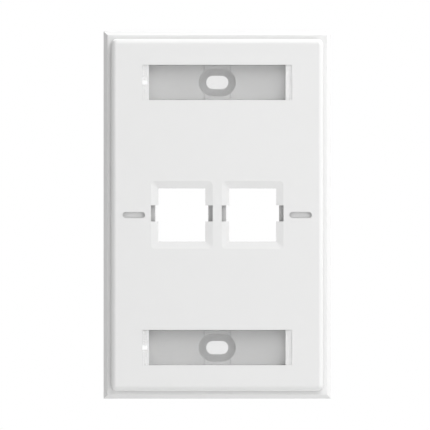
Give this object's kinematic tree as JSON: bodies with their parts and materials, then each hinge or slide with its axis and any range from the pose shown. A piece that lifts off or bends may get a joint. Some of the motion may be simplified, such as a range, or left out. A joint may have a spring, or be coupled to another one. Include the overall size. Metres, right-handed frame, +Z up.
{
  "type": "keystone faceplate",
  "caption": "Upright wall plate with square openings for snap-in jacks and a clear label cover over each screw slot.",
  "frame": {"origin": "midway between the two wall box screw slots, on the wall plane that the plate's back rim lies in", "axes": "+Z up the plate, +X to the viewer's right when facing it, -Y out of the wall towards the viewer"},
  "size_m": [0.0714, 0.0099, 0.1154],
  "materials": {
    "white_moulding": "smooth white moulded plastic with a soft sheen",
    "clear_cover": "clear moulded plastic"
  },
  "bodies": {
    "plate": {"faceplate": "white_moulding"},
    "upper_cover": {"window_cover_upper": "clear_cover"},
    "lower_cover": {"window_cover_lower": "clear_cover"}
  },
  "joints": [
    {"name": "upper_cover_lift", "type": "slide", "parent": "plate", "child": "upper_cover", "axis": [0, -1, 0], "range_m": [0, 0.012]},
    {"name": "lower_cover_lift", "type": "slide", "parent": "plate", "child": "lower_cover", "axis": [0, -1, 0], "range_m": [0, 0.012]}
  ]
}
